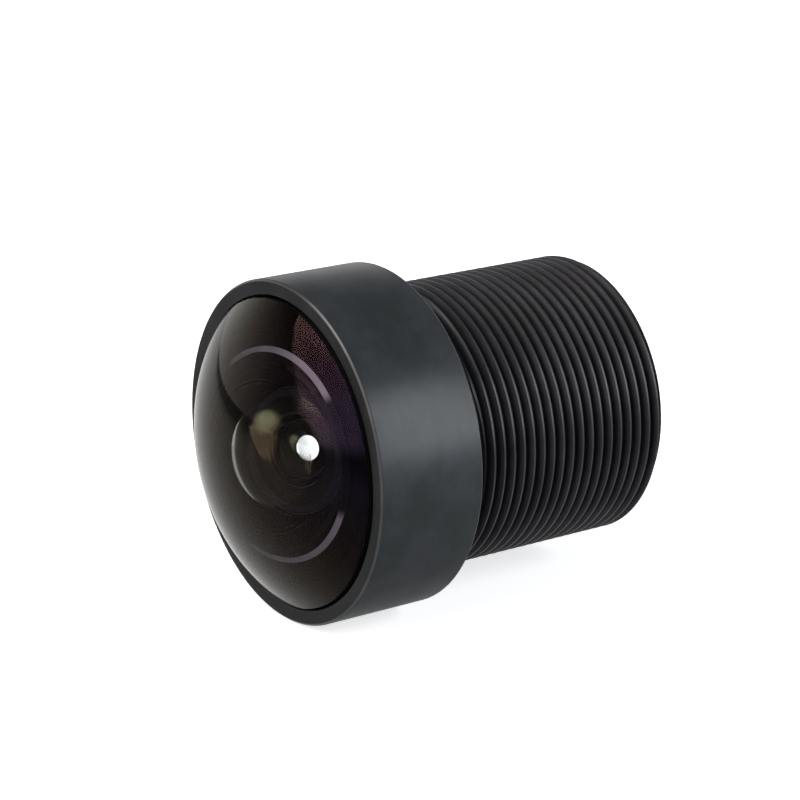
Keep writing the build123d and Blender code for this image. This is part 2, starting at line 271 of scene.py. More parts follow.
stopLook = dict(
    innerLook, colour=(0.004, 0.004, 0.004), cloudColour=(0.006, 0.006, 0.006), specular=0.06,
)
inkLook = dict(
    innerLook, colour=(0.0025, 0.0025, 0.0028), cloudColour=(0.0035, 0.0035, 0.0040),
    roughness=0.5, specular=0.04, bump=0.02,
)
rubberLook = dict(
    innerLook, colour=(0.010, 0.010, 0.010), cloudColour=(0.014, 0.014, 0.014),
    roughness=0.5, specular=0.3,
)
filmLook = dict(
    innerLook, colour=(0.006, 0.006, 0.006), cloudColour=(0.008, 0.008, 0.008),
    roughness=0.7, specular=0.08,
)
# the ground chamfer round the hollow is inked black but for two arcs, given as degrees from the top, which
# carry a painted highlight in a pale colour.
# The arcs dim with the sine of that angle, from full at dimTo to dimShare at dimFrom, so the painted
# highlight is brighter on the +X side
groundLook = dict(
    inkLook, paintedHighlightColour=(0.34, 0.32, 0.40), paintedHighlightArcs=((-42, 38), (118, 196)), arcSoftness=9,
    dimFrom=-0.70, dimTo=0.60, dimShare=0.24,
)


def turnedMaterial(name, look):
    # the shared finish on a plain shader, with its own colours, marks and relief
    made, tree, shader, place = newMaterial(name, {"Metallic": 0.0, "Specular IOR Level": look["specular"]})
    finish = useGroup(tree, turnedFinish, place, {
        "Colour": rgba(look["colour"]), "Cloud Colour": rgba(look["cloudColour"]),
        "Roughness": look["roughness"], "Roughness Spread": look["roughnessSpread"],
        "Mark Scale": look["markScale"], "Mark Depth": look["markDepth"],
        "Speckle": look["speckle"], "Dust": look["dust"],
    })
    join(tree, finish.outputs["Colour"], shader.inputs["Base Color"])
    join(tree, finish.outputs["Roughness"], shader.inputs["Roughness"])
    relief = addNode(tree, "ShaderNodeBump", {"Strength": look["bump"], "Distance": look["bumpHeight"]})
    join(tree, finish.outputs["Height"], relief.inputs["Height"])
    join(tree, relief.outputs[0], shader.inputs["Normal"])
    return made, tree, shader, place, finish


def makeBarrelMaterial(rootRadius):
    # painted shade: the thread's roots are darker than its crests, by the distance from the axis
    made, tree, shader, place, finish = turnedMaterial("barrelAnodised", barrelLook)
    deep = useGroup(tree, ringMask, place, {
        "Low": rootRadius + barrelLook["grooveFrom"], "High": rootRadius + barrelLook["grooveTo"]})
    coloured = mixColour(tree, deep.outputs["Mask"], finish.outputs["Colour"], barrelLook["grooveShadeColour"])
    join(tree, coloured, shader.inputs["Base Color"])
    return made


def makeGroundMaterial():
    # an angle round the axis, a = atan2(x, z), picks the arcs of painted highlight on the inked ground
    # glass
    look = groundLook
    made, tree, shader, place, finish = turnedMaterial("groundChamfer", look)
    parts = addNode(tree, "ShaderNodeSeparateXYZ")
    join(tree, place, parts.inputs[0])
    paintedHighlight = 0.0
    for low, high in look["paintedHighlightArcs"]:
        middle = math.radians((low + high) / 2)
        half, soft = math.radians((high - low) / 2), math.radians(look["arcSoftness"])
        # cosine of the angle from the arc's middle, so that nothing jumps at half a turn
        ahead = mathNode(tree, "MULTIPLY", parts.outputs["Z"], math.cos(middle))
        aside = mathNode(tree, "MULTIPLY", parts.outputs["X"], math.sin(middle))
        nearness = mathNode(tree, "DIVIDE", mathNode(tree, "ADD", ahead, aside), axisRadius(tree, parts))
        arc = ramp(tree, nearness, math.cos(half + soft), math.cos(half))
        paintedHighlight = mathNode(tree, "MAXIMUM", paintedHighlight, arc)
    # the painted highlight on both arcs grows brighter towards +X, by the sine of the angle
    sine = mathNode(tree, "DIVIDE", parts.outputs["X"], axisRadius(tree, parts))
    bright = ramp(tree, sine, look["dimFrom"], look["dimTo"], look["dimShare"], 1.0)
    paintedHighlight = mathNode(tree, "MULTIPLY", paintedHighlight, bright)
    # a pale colour over the ink's black: the painted highlight
    coloured = mixColour(tree, paintedHighlight, finish.outputs["Colour"], look["paintedHighlightColour"])
    join(tree, coloured, shader.inputs["Base Color"])
    return made


def glassMaterial(name, glass):
    # polished and coated glass: a clear body with a thin coating, and a trace of unevenness in its polish
    made, tree, shader, place = newMaterial(name, {
        "Metallic": 0.0, "Transmission Weight": 1.0, "IOR": glass["index"],
        "Specular Tint": rgba(glass["reflection"]),
        "Thin Film Thickness": glass["coating"], "Thin Film IOR": glass["coatingIndex"],
        "Coat Weight": glass["gloss"], "Coat IOR": glass["glossIndex"], "Coat Roughness": 0.0,
    })
    uneven = addNode(tree, "ShaderNodeTexNoise", {
        "Scale": glass["unevenScale"], "Detail": glass["unevenDetail"]})
    join(tree, place, uneven.inputs["Vector"])
    patchy = ramp(tree, uneven.outputs[0], *glass["tintRange"])
    hazy = ramp(tree, uneven.outputs[0], *glass["hazeRange"], 0.0, glass["haze"])
    join(tree, mixColour(tree, patchy, glass["tint"], glass["tintDeep"]), shader.inputs["Base Color"])
    join(tree, hazy, shader.inputs["Roughness"])
    return made


headMaterial = turnedMaterial("headAnodised", headLook)[0]
edgeMaterial = turnedMaterial("wornEdge", edgeLook)[0]
shadedLipMaterial = turnedMaterial("lipFacePaintedShade", shadedLipLook)[0]
innerMaterial = turnedMaterial("innerBlack", innerLook)[0]
stopMaterial = turnedMaterial("stopBlack", stopLook)[0]
inkMaterial = turnedMaterial("edgeInk", inkLook)[0]
rubberMaterial = turnedMaterial("sealRubber", rubberLook)[0]
filmMaterial = turnedMaterial("shieldFilm", filmLook)[0]
groundMaterial = makeGroundMaterial()
print("materials made")


# Shapes: a profile carried round the Y axis

def arcPoints(vertex, curve, outer, count):
    # a polished sphere from the axis to radius outer:
    # place = vertex + curve - sign * sqrt(curve^2 - radius^2), where sign is that of curve
    radius = np.linspace(0, outer, count)
    place = vertex + curve - math.copysign(1, curve) * np.sqrt(curve**2 - radius**2)
    return np.column_stack((radius, place))


def rounded(corners, size, count, mostOfSide=0.45):
    # cuts each corner of a profile and puts a small curve there, a quadratic from one side to the other:
    # p = (1-t)^2 a + 2t(1-t) corner + t^2 b, so that edges catch the light
    corners = np.array(corners, float)
    before = np.roll(corners, 1, axis=0) - corners
    after = np.roll(corners, -1, axis=0) - corners
    lengthBefore = np.linalg.norm(before, axis=1, keepdims=True)
    lengthAfter = np.linalg.norm(after, axis=1, keepdims=True)
    cut = np.minimum(size, mostOfSide * np.minimum(lengthBefore, lengthAfter))
    start = corners + before / lengthBefore * cut
    end = corners + after / lengthAfter * cut
    t = np.linspace(0, 1, count)[None, :, None]
    curve = (1 - t)**2 * start[:, None] + 2 * t * (1 - t) * corners[:, None] + t**2 * end[:, None]
    return curve.reshape(-1, 2)


def gridQuads(rows, columns, closedRows=True, closedColumns=True):
    # quads between neighbouring rows and columns of a grid of points, each joined to the first if closed
    i = np.arange(rows if closedRows else rows - 1)[:, None]
    j = np.arange(columns if closedColumns else columns - 1)[None, :]
    nextRow, nextColumn = (i + 1) % rows, (j + 1) % columns
    here, further = i * columns, nextRow * columns
    corners = (here + j, further + j, further + nextColumn, here + nextColumn)
    return np.stack(corners, -1).reshape(-1, 4)


def aroundAxis(radius, place, angle):
    # x = radius sin a, y = place, z = radius cos a, over whole arrays that stretch to the same shape
    axes = np.broadcast_arrays(radius * np.sin(angle), place, radius * np.cos(angle))
    return np.stack(axes, -1).reshape(-1, 3)


def carryRound(profile, angle):
    # every profile point at every angle
    return aroundAxis(profile[:, :1], profile[:, 1:], angle)


def roundAngles(count):
    # the angles of one full turn, without the last, which is the first again
    return np.arange(count) * 2 * math.pi / count


def meshPiece(name, points, quads, materials, faceSlots=None, sharpAngle=25.0, weld=2e-8):
    # puts whole arrays into a mesh, welds poles and seams, points the faces outwards
    mesh = bpy.data.meshes.new(name)
    mesh.from_pydata(points.tolist(), [], quads.tolist())
    for material in materials:
        mesh.materials.append(material)
    if faceSlots is not None:
        mesh.polygons.foreach_set("material_index", faceSlots.astype(np.int32))
    work = bmesh.new()
    work.from_mesh(mesh)
    bmesh.ops.remove_doubles(work, verts=work.verts, dist=weld)
    bmesh.ops.recalc_face_normals(work, faces=work.faces)
    work.to_mesh(mesh)
    work.free()
    mesh.polygons.foreach_set("use_smooth", np.ones(len(mesh.polygons), bool))
    mesh.set_sharp_from_angle(angle=math.radians(sharpAngle))
    mesh.update()
    made = bpy.data.objects.new(name, mesh)
    scene.collection.objects.link(made)
    return made


def turned(name, profile, materials, segments, faceSlots=None):
    # carries a closed profile of (radius, place) round the axis
    profile = np.asarray(profile, float)
    quads = gridQuads(len(profile), segments)
    perFace = None if faceSlots is None else np.repeat(np.asarray(faceSlots), segments)
    return meshPiece(name, carryRound(profile, roundAngles(segments)), quads, materials, perFace)


def span(node):
    # front and rear place of a node along the axis, and its outer radius
    low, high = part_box(node)
    return low.y, high.y, high.z


def seatPiece(piece, body, node):
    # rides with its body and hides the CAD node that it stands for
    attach(piece, body)
    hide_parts(node)


# Front ring: a turned shell with a narrow lip

ring = dict(
    wall=0.47 * mm, lipWidth=0.65 * mm, lipThickness=0.43 * mm,
    edge=0.08 * mm, lipEdge=0.05 * mm, rounding=0.02 * mm, cornerPoints=4, segments=288,
)
ringFront, ringRear, headRadius = span("front_ring")
lipRear = ringFront + ring["lipThickness"]


def makeFrontRing():
    bore = headRadius - ring["wall"]
    lip = headRadius - ring["lipWidth"]
    edge, lipEdge = ring["edge"], ring["lipEdge"]
    corners = [
        (lip, ringFront + lipEdge), (lip + lipEdge, ringFront),
        (headRadius - edge, ringFront), (headRadius, ringFront + edge),
        (headRadius, ringRear - edge), (headRadius - edge, ringRear),
        (bore, ringRear), (bore, lipRear), (lip, lipRear),
    ]
    # the chamfers that start at corners 0, 2 and 4 are worn, and the lip's flat face starts at corner 1
    materials = [headMaterial, edgeMaterial, shadedLipMaterial]
    plain, worn, flatFace = 0, 1, 2
    perCorner = ring["cornerPoints"]
    faceSlots = np.repeat([worn, plain, worn, plain, worn, plain, plain, plain, plain], perCorner)
    faceSlots[2 * perCorner - 1] = flatFace
    profile = rounded(corners, ring["rounding"], perCorner)
    return turned("frontRing", profile, materials, ring["segments"], faceSlots)


seatPiece(makeFrontRing(), "front_ring", "front_ring")
print("front ring made")


# Glasses. Each has a clear face in front and behind, and inked edges between them
#
# centre is the thickness on the axis. curve, hollow, front, rear and cement are radii of spheres, less
# than zero where the sphere's centre lies in front. clear, frontClear, rearClear, hollowClear and mouth
# are how far from the axis the polish reaches, and chamfer is where the ground ring round the hollow
# ends. A coating is in nanometres, reflection tints what it mirrors, and gloss adds an untinted shine
# of index glossIndex

clearGlass = dict(
    tint=white, tintDeep=(0.992, 0.994, 0.996), tintRange=(0.3, 0.7),
    haze=0.004, hazeRange=(0.45, 0.75), unevenScale=700.0, unevenDetail=3.0,
    reflection=(0.10, 0.10, 0.10), coating=0.0, coatingIndex=1.38, gloss=0.0, glossIndex=1.15,
    bevel=0.06 * mm, facePoints=48, segments=224,
)
frontGlass = dict(
    clearGlass, index=1.80, centre=1.25 * mm, curve=9.6 * mm, clear=6.38 * mm,
    hollow=3.47 * mm, hollowClear=3.364 * mm, chamfer=3.52 * mm,
    coating=102.0, reflection=(0.37, 0.44, 0.50), gloss=1.0, facePoints=60, segments=256,
)
# the hollow has a coating of its own
frontHollow = dict(frontGlass, coating=92.0, reflection=(0.26, 0.31, 0.25), gloss=0.0)
secondGlass = dict(
    clearGlass, index=1.562, centre=0.60 * mm, curve=16.4 * mm, clear=2.95 * mm,
    hollow=2.61 * mm, mouth=2.049 * mm, coating=95.0, reflection=(0.38, 0.52, 0.46),
)
thirdGlass = dict(
    clearGlass, index=1.85, centre=2.55 * mm, front=4.4 * mm, rear=-56 * mm,
    frontClear=2.4 * mm, rearClear=2.3 * mm, coating=120.0,
)
pairFrontGlass = dict(
    clearGlass, index=1.62, centre=2.574 * mm, front=16.33 * mm, cement=-2.96 * mm, clear=2.2 * mm,
    coating=110.0,
)
pairRearGlass = dict(clearGlass, index=1.85, centre=0.866 * mm, rear=-5.8 * mm, clear=2.1 * mm)
rearGlass = dict(
    clearGlass, index=1.62, centre=1.706 * mm, front=10.15 * mm, rear=-10.72 * mm,
    frontClear=2.25 * mm, rearClear=2.4 * mm, coating=110.0,
)
filterGlass = dict(
    clearGlass, index=1.52, tint=(0.985, 1.0, 0.995), tintDeep=(0.975, 0.998, 0.990), coating=110.0,
    edge=0.05 * mm, segments=128,
)
polished, inked, ground, coated = 0, 1, 2, 3  # material slots of a glass


def bevelledRim(glass, radius, front, rear):
    bevel = glass["bevel"]
    inner = radius - bevel
    return [(inner, front), (radius, front + bevel), (radius, rear - bevel), (inner, rear)]


def glassPiece(name, stretches, glass, more=()):
    # stretches are (points, slot), front to rear; the slot belongs to the faces that leave those points
    profile = np.concatenate([np.atleast_2d(points) for points, slot in stretches])
    faceSlots = np.concatenate([np.full(len(np.atleast_2d(points)), slot) for points, slot in stretches])
    materials = [glassMaterial(name, glass), inkMaterial, groundMaterial, *more]
    return turned(name, profile, materials, glass["segments"], faceSlots)


def twoFacedGlass(name, glass, front, rim, rear):
    # a polished front face, an inked rim and a polished rear face. The front's last point starts the rim
    stretches = [(front[:-1], polished), (front[-1:], inked), (rim, inked), (rear[::-1], polished)]
    return glassPiece(name, stretches, glass)


def makeFrontGlass():
    vertex, seat, radius = span("front_lens")
    g = frontGlass
    front = arcPoints(vertex, g["curve"], g["clear"], g["facePoints"])
    rim = [(g["clear"], lipRear)] + bevelledRim(g, radius, lipRear, seat)
    hollow = arcPoints(vertex + g["centre"], g["hollow"], g["hollowClear"], g["facePoints"])
    stretches = [
        (front[:-1], polished), (front[-1:], inked), (rim, inked),
        ([(g["chamfer"], seat)], ground), (hollow[::-1], coated),
    ]
    return glassPiece("frontGlass", stretches, g, [glassMaterial("frontHollow", frontHollow)])


def makeSecondGlass():
    vertex, back, radius = span("second_lens")
    g = secondGlass
    front = arcPoints(vertex, g["curve"], g["clear"], g["facePoints"])
    hollow = arcPoints(vertex + g["centre"], g["hollow"], g["mouth"], g["facePoints"])
    return twoFacedGlass("secondGlass", g, front, bevelledRim(g, radius, front[-1, 1], back), hollow)


def makeBiconvex(name, node, glass):
    vertex, _, radius = span(node)
    front = arcPoints(vertex, glass["front"], glass["frontClear"], glass["facePoints"])
    rear = arcPoints(vertex + glass["centre"], glass["rear"], glass["rearClear"], glass["facePoints"])
    return twoFacedGlass(name, glass, front, bevelledRim(glass, radius, front[-1, 1], rear[-1, 1]), rear)


def makePair():
    # both glasses share the cemented face, so they meet without a gap
    vertex, _, radius = span("doublet_front")
    crown, flint = pairFrontGlass, pairRearGlass
    cementVertex = vertex + crown["centre"]
    front = arcPoints(vertex, crown["front"], crown["clear"], crown["facePoints"])
    cement = arcPoints(cementVertex, crown["cement"], radius, crown["facePoints"])
    rear = arcPoints(cementVertex + flint["centre"], flint["rear"], flint["clear"], flint["facePoints"])
    crownPiece = twoFacedGlass("pairFrontGlass", crown, front, [(radius, front[-1, 1])], cement)
    flintPiece = twoFacedGlass("pairRearGlass", flint, cement, [(radius, rear[-1, 1])], rear)
    return crownPiece, flintPiece


def makeFilter():
    front, rear, radius = span("ir_filter")
    edge = filterGlass["edge"]
    corners = [
        (0, front), (radius - edge, front), (radius, front + edge),
        (radius, rear - edge), (radius - edge, rear), (0, rear),
    ]
    material = glassMaterial("filterGlass", filterGlass)
    return turned("filterGlass", corners, [material], filterGlass["segments"])


crownPiece, flintPiece = makePair()
seatPiece(makeFrontGlass(), "front_glass", "front_lens")
seatPiece(makeSecondGlass(), "barrel", "second_lens")
seatPiece(makeBiconvex("thirdGlass", "third_lens", thirdGlass), "barrel", "third_lens")
seatPiece(crownPiece, "barrel", "doublet_front")
seatPiece(flintPiece, "barrel", "doublet_rear")
seatPiece(makeBiconvex("rearGlass", "rear_lens", rearGlass), "barrel", "rear_lens")
seatPiece(makeFilter(), "filter", "ir_filter")
print("glasses made")


# Spacers, shields, stop and filter ring: rings whose bore runs straight or as a cone, with fine
# ridges that kill stray light. Each has its bore's radius in front and behind, and its number of ridges

boreRings = dict(rounding=0.012 * mm, cornerPoints=3, ridgeDepth=0.035 * mm, segments=192)
shieldFinish = dict(body="barrel", slot="shield_film", material=filmMaterial)
spacerFinish = dict(body="barrel", slot="spacer_black", material=innerMaterial)
stopFinish = dict(body="barrel", slot="stop_black", material=stopMaterial)
filterRingFinish = dict(body="filter", slot="retainer_anodised", material=headMaterial)
ringPieces = {
    "front_shield": dict(shieldFinish, piece="frontShield", front=2.049 * mm, rear=2.049 * mm, ridges=0),
    "second_spacer": dict(spacerFinish, piece="secondSpacer", front=2.049 * mm, rear=2.4 * mm, ridges=6),
    "aperture_stop": dict(stopFinish, piece="apertureStop", front=0.80 * mm, rear=0.86 * mm, ridges=0),
    "stop_spacer": dict(spacerFinish, piece="stopSpacer", front=1.45 * mm, rear=2.2 * mm, ridges=9),
    "rear_spacer": dict(spacerFinish, piece="rearSpacer", front=2.1 * mm, rear=2.25 * mm, ridges=6),
    "rear_shield": dict(shieldFinish, piece="rearShield", front=2.4 * mm, rear=2.4 * mm, ridges=0),
    "filter_ring": dict(filterRingFinish, piece="filterRing", front=2.6 * mm, rear=2.6 * mm, ridges=0),
}


def ridgedBore(front, rear, frontRadius, rearRadius, ridges):
    # a saw tooth along the bore: the radius falls back by the ridge's depth at the middle of each tooth
    share = np.linspace(0, 1, 2 * ridges + 1)
    deeper = np.where(np.arange(len(share)) % 2 == 1, boreRings["ridgeDepth"], 0.0)
    radius = frontRadius + (rearRadius - frontRadius) * share + deeper
    return np.column_stack((radius, front + (rear - front) * share))


def makeBoreRing(node, look):
    front, rear, radius = span(node)
    outside = [(radius, rear), (radius, front)]
    if look["ridges"]:
        bore = ridgedBore(front, rear, look["front"], look["rear"], look["ridges"])
    else:
        bore = np.array([(look["front"], front), (look["rear"], rear)])
    profile = rounded(np.concatenate((bore, outside)), boreRings["rounding"], boreRings["cornerPoints"])
    return turned(look["piece"], profile, [look["material"]], boreRings["segments"])


for node, look in ringPieces.items():
    seatPiece(makeBoreRing(node, look), look["body"], node)


# Front baffle: a black ring between the glasses, with fine steps that face the light

baffle = dict(
    bore=2.95 * mm, mouth=3.50 * mm, steps=6, slant=0.5,
    rounding=0.010 * mm, cornerPoints=3, segments=224,
)


def makeBaffle():
    # a stair from the bore out to the mouth: each step rises along the axis on a slant that takes a share
    # of its run, and the rest of the run is flat
    front, rear, radius = span("front_baffle")
    number = np.arange(baffle["steps"])
    run = (baffle["mouth"] - baffle["bore"]) / baffle["steps"]
    rise = (rear - front) / baffle["steps"]
    low = np.column_stack((baffle["bore"] + number * run, rear - number * rise))
    high = np.column_stack((baffle["bore"] + (number + baffle["slant"]) * run, rear - (number + 1) * rise))
    stairs = np.stack((low, high), 1).reshape(-1, 2)
    corners = np.concatenate((stairs, [(baffle["mouth"], front), (radius, front), (radius, rear)]))
    profile = rounded(corners, baffle["rounding"], baffle["cornerPoints"])
    return turned("frontBaffle", profile, [innerMaterial], baffle["segments"])


seatPiece(makeBaffle(), "barrel", "front_baffle")
print("rings and baffle made")


# Barrel: flange, relief groove, thread and stepped bore

thread = dict(
    crest=5.98 * mm, depth=0.307 * mm, pitch=0.5 * mm, rootShare=0.166, crestShare=0.125,
    reliefLength=1.05 * mm, reliefExtra=0.05 * mm, endLength=0.35 * mm, endDepth=0.42 * mm,
    softness=0.6, rowsPerTurn=12, segments=288,
)
barrelMesh = dict(sharpAngle=38.0, weld=5e-8)
# the bore follows the pieces that it holds: fit and threadFit are gaps round them, stepRelief keeps its
# steps off them, sealRoom is the room on both sides of the seal, and shield a light shield's thickness
bore = dict(
    fit=0.02 * mm, threadFit=0.04 * mm, stepRelief=0.04 * mm, shield=0.05 * mm, webRadius=1.70 * mm,
    mouthEdge=0.15 * mm, edge=0.03 * mm, sealWidth=0.50 * mm, sealRoom=0.05 * mm, webRidges=5,
)


def threadGrid(rear, angle):
    # place = base + pitch * a / 2 pi, held between the thread's ends. radius = root + depth * lift, never
    # above the bar's outline. lift goes from 0 on the root's flat to 1 on the crest's flat, a straight
    # climb t mixed with 3 t^2 - 2 t^3, and repeats once a pitch
    pitch, rows = thread["pitch"], thread["rowsPerTurn"]
    root = thread["crest"] - thread["depth"]
    grooveStart = thread["reliefLength"] - pitch
    start = thread["reliefLength"] - thread["reliefExtra"]
    rowCount = int((rear - grooveStart) / pitch + 2) * rows + 1
    base = grooveStart - pitch + pitch / rows * np.arange(rowCount)
    place = np.clip(base[:, None] + pitch * angle[None, :] / (2 * math.pi), start, rear)
    turn = (base - grooveStart) / pitch
    away = np.abs(turn - np.round(turn))
    rootHalf, crestHalf = thread["rootShare"] / 2, (1 - thread["crestShare"]) / 2
    t = np.clip((away - rootHalf) / (crestHalf - rootHalf), 0, 1)
    lift = (1 - thread["softness"]) * t + thread["softness"] * (3 * t**2 - 2 * t**3)
    crest, depth = thread["crest"], thread["depth"]
    ends = [start, thread["reliefLength"] + depth, rear - thread["endLength"], rear]
    radii = [root - thread["reliefExtra"], crest, crest, crest - thread["endDepth"]]
    radius = np.minimum(np.interp(place, ends, radii), root + depth * lift[:, None])
    points = aroundAxis(radius, place, angle)
    # the last column meets the first one a pitch further on
    columns = len(angle)
    k = np.arange(len(base) - 1 - rows)
    seam = np.stack((
        k * columns + columns - 1, (k + 1) * columns + columns - 1,
        (k + 1 + rows) * columns, (k + rows) * columns,
    ), -1)
    return points, np.concatenate((gridQuads(len(base), columns, False, False), seam)), start


def boreProfile(front, rear, flange, start):
    # from the rear face through the bores to the front, round the flange and back to the thread
    fit, relief, edge = bore["fit"], bore["stepRelief"], bore["edge"]
    retainerFront, _, retainerRadius = span("rear_retainer")
    mouth = retainerRadius + bore["threadFit"]
    retainerStep = retainerFront - bore["shield"] - relief
    rearRadius, pairRadius = span("rear_lens")[2] + fit, span("doublet_front")[2] + fit
    thirdRadius, secondRadius = span("third_lens")[2] + fit, span("second_lens")[2] + fit
    baffleRadius = span("front_baffle")[2] + fit
    pairStep = span("rear_spacer")[1] - relief
    thirdStep, baffleStep = span("second_spacer")[1] + relief, span("front_baffle")[1] + relief
    stopFront = span("aperture_stop")[0]
    thirdVertex = span("third_lens")[0] + thirdGlass["centre"]
    webFront = arcPoints(thirdVertex, thirdGlass["rear"], thirdGlass["rearClear"], 2)[-1, 1]
    web = ridgedBore(stopFront, webFront, bore["webRadius"], thirdGlass["rearClear"], bore["webRidges"])
    _, sealBack, sealOuter = span("front_seal")
    grooveOuter = sealOuter + bore["sealRoom"]
    grooveInner = sealOuter - bore["sealWidth"] - bore["sealRoom"]
    neck = thread["crest"] - thread["depth"] - thread["reliefExtra"]
    return np.concatenate((
        [
            (thread["crest"] - thread["endDepth"], rear), (mouth + bore["mouthEdge"], rear),
            (mouth, rear - bore["mouthEdge"]), (mouth, retainerStep), (rearRadius, retainerStep),
            (rearRadius, pairStep), (pairRadius, pairStep), (pairRadius, stopFront),
        ],
        web,
        [
            (thirdRadius, webFront), (thirdRadius, thirdStep), (secondRadius, thirdStep),
            (secondRadius, baffleStep), (baffleRadius, baffleStep), (baffleRadius, front),
            (grooveInner, front), (grooveInner, sealBack), (grooveOuter, sealBack), (grooveOuter, front),
            (flange - edge, front), (flange, front + edge), (flange, -edge), (flange - edge, 0),
            (neck + edge, 0), (neck, edge), (neck, start),
        ],
    ))


def makeBarrel():
    front, rear, flange = span("barrel")
    angle = roundAngles(thread["segments"])
    threadPoints, threadQuads, start = threadGrid(rear, angle)
    profile = boreProfile(front, rear, flange, start)
    boreQuads = gridQuads(len(profile), len(angle), False) + len(threadPoints)
    points = np.concatenate((threadPoints, carryRound(profile, angle)))
    quads = np.concatenate((threadQuads, boreQuads))
    material = makeBarrelMaterial(thread["crest"] - thread["depth"])
    return meshPiece("barrelBody", points, quads, [material], **barrelMesh)


seatPiece(makeBarrel(), "barrel", "barrel")
print("barrel made")


# Rear retainer: a screwed ring with a pocket for the filter and two slots for a spanner

retainer = dict(
    wall=1.18 * mm, filterDepth=0.97 * mm, lip=0.39 * mm, bore=2.4 * mm, edge=0.08 * mm,
    slots=2, firstSlot=90, slotWidth=0.8 * mm, slotDepth=0.5 * mm, slotWall=0.3 * mm,
    rounding=0.02 * mm, columnsPerSlot=12, columnsBetween=84,
)


def makeRetainer():
    # a profile carried round, but the columns between a slot's two walls, |a| < asin(half width / radius),
    # take a second profile whose rear face lies deeper, from the slot's inner end outwards
    front, rear, radius = span("rear_retainer")
    pocket = radius - retainer["wall"]
    slotInner = pocket + retainer["slotWall"]
    deep = rear - retainer["slotDepth"]
    edge, small = retainer["edge"], retainer["rounding"]
    filterFront = front + retainer["filterDepth"]
    rows = np.array([  # radius, place, place inside a slot
        (retainer["bore"], front, front), (pocket - retainer["lip"], filterFront, filterFront),
        (pocket, filterFront, filterFront), (pocket, rear - small, rear - small),
        (pocket + small, rear, rear), (slotInner, rear, rear), (slotInner, rear, deep),
        (radius - small, rear, deep), (radius, rear - small, deep), (radius, deep, deep),
        (radius, front + edge, front + edge), (radius - edge, front, front),
    ])
    wallAngle = np.arcsin(np.minimum(1, retainer["slotWidth"] / 2 / rows[:, :1]))
    step, first = 2 * math.pi / retainer["slots"], math.radians(retainer["firstSlot"])
    inSlot = np.linspace(-1, 1, retainer["columnsPerSlot"])[None, :] * wallAngle
    between = np.linspace(0, 1, retainer["columnsBetween"])[None, :]
    outside = wallAngle + between * (step - 2 * wallAngle)
    oneShare = np.concatenate((inSlot, outside), 1)
    placeOneShare = np.concatenate((0 * inSlot + rows[:, 2:], 0 * outside + rows[:, 1:2]), 1)
    angle = np.concatenate([oneShare + first + step * k for k in range(retainer["slots"])], 1)
    place = np.tile(placeOneShare, (1, retainer["slots"]))
    points = aroundAxis(rows[:, :1], place, angle)
    return meshPiece("rearRetainer", points, gridQuads(len(rows), angle.shape[1]), [headMaterial])


seatPiece(makeRetainer(), "rear_retainer", "rear_retainer")

# The front seal keeps its CAD shape
sealMesh = nodes["front_seal"].data
sealMesh.materials.clear()
sealMesh.materials.append(rubberMaterial)
print("retainer made, seal dressed")


# Camera

view = dict(
    azimuth=55.02, elevation=17.20,  # degrees: from straight in front round towards +X, and up
    distance=115.62 * mm, rightShift=0.778 * mm, upShift=1.335 * mm,
    focalPixels=2794.5, frameWidth=800, sensorWidth=36, nearest=10 * mm,
)


def makeCamera():
    # stands out from the origin, shifted sideways and up in its own picture, and looks straight back
    azimuth, elevation = math.radians(view["azimuth"]), math.radians(view["elevation"])
    flat = math.cos(elevation)
    back = Vector((math.sin(azimuth) * flat, -math.cos(azimuth) * flat, math.sin(elevation)))
    right = Vector((math.cos(azimuth), math.sin(azimuth), 0))
    up = back.cross(right)
    eye = back * view["distance"] + right * view["rightShift"] + up * view["upShift"]
    data = bpy.data.cameras.new("camera")
    data.sensor_width = view["sensorWidth"]
    data.lens = view["focalPixels"] * view["sensorWidth"] / view["frameWidth"]
    data.clip_start = view["nearest"]
    made = bpy.data.objects.new("camera", data)
    scene.collection.objects.link(made)
    made.matrix_world = Matrix.Translation(eye) @ Matrix((right, up, back)).transposed().to_4x4()
    scene.camera = made


makeCamera()


# Floor, world and lamps

stageLook = dict(
    floorDrop=0.02 * mm, floorSize=2.5, floorColour=(0.80, 0.80, 0.80), floorRoughness=0.9,
    floorGlow=0.62, farGlow=1.0, farFrom=0.06, farTo=0.30,  # for the camera
    mirrorGlow=0.76, frontShare=0.30,  # for mirrors
    shadeCentre=(5.5 * mm, -1 * mm, 0), shadeNear=1 * mm, shadeFar=9 * mm, shadeDeep=0.50,
    darkFrom=-30 * mm, darkTo=-100 * mm, horizonFrom=-0.60, horizonTo=-0.97,
    throughShare=0.30, throughBack=2.8, throughFloor=12 * mm, throughHorizon=0.35,  # through the glasses
    worldLight=0.5, ceilingFrom=0.15, ceilingTo=0.70, ceilingColour=(0.10, 0.10, 0.11),
)
# each lamp: direction from the lens, distance and size in metres, watts and colour. Over the panel, u and v
# run from 0 to 1: edge (slope, start, width) cuts it off below u + slope * v = start, fade (low, from, to)
# dims it downwards, margin softens its lower and right side, and round (inner, outer) its whole outline
lamps = dict(
    bandSoft=dict(
        direction=(0.770, 0.560, 0.340), distance=0.30, size=(0.12, 0.20),
        power=1.05, colour=(0.91, 0.95, 1.0),
    ),
    frontSoft=dict(
        direction=(-0.031, -0.914, 0.405), distance=0.317, size=(0.46, 0.32),
        power=1.45, colour=(1.0, 0.80, 0.75),
        edge=(0.70, 0.64, 0.03), fade=(0.85, 0.30, 0.80), margin=0.20,
    ),
    topSoft=dict(
        direction=(-0.08, -0.42, 0.90), distance=0.30, size=(0.34, 0.34),
        power=3.0, colour=(1.0, 0.99, 0.94), round=(0.10, 0.50),
    ),
)


def lightPaths(tree):
    # what a ray last did: mirrored is 1 for rays from a mirror or through a glass
    path = tree.nodes.new("ShaderNodeLightPath").outputs
    return path, mathNode(tree, "MAXIMUM", path["Is Glossy Ray"], path["Is Transmission Ray"])


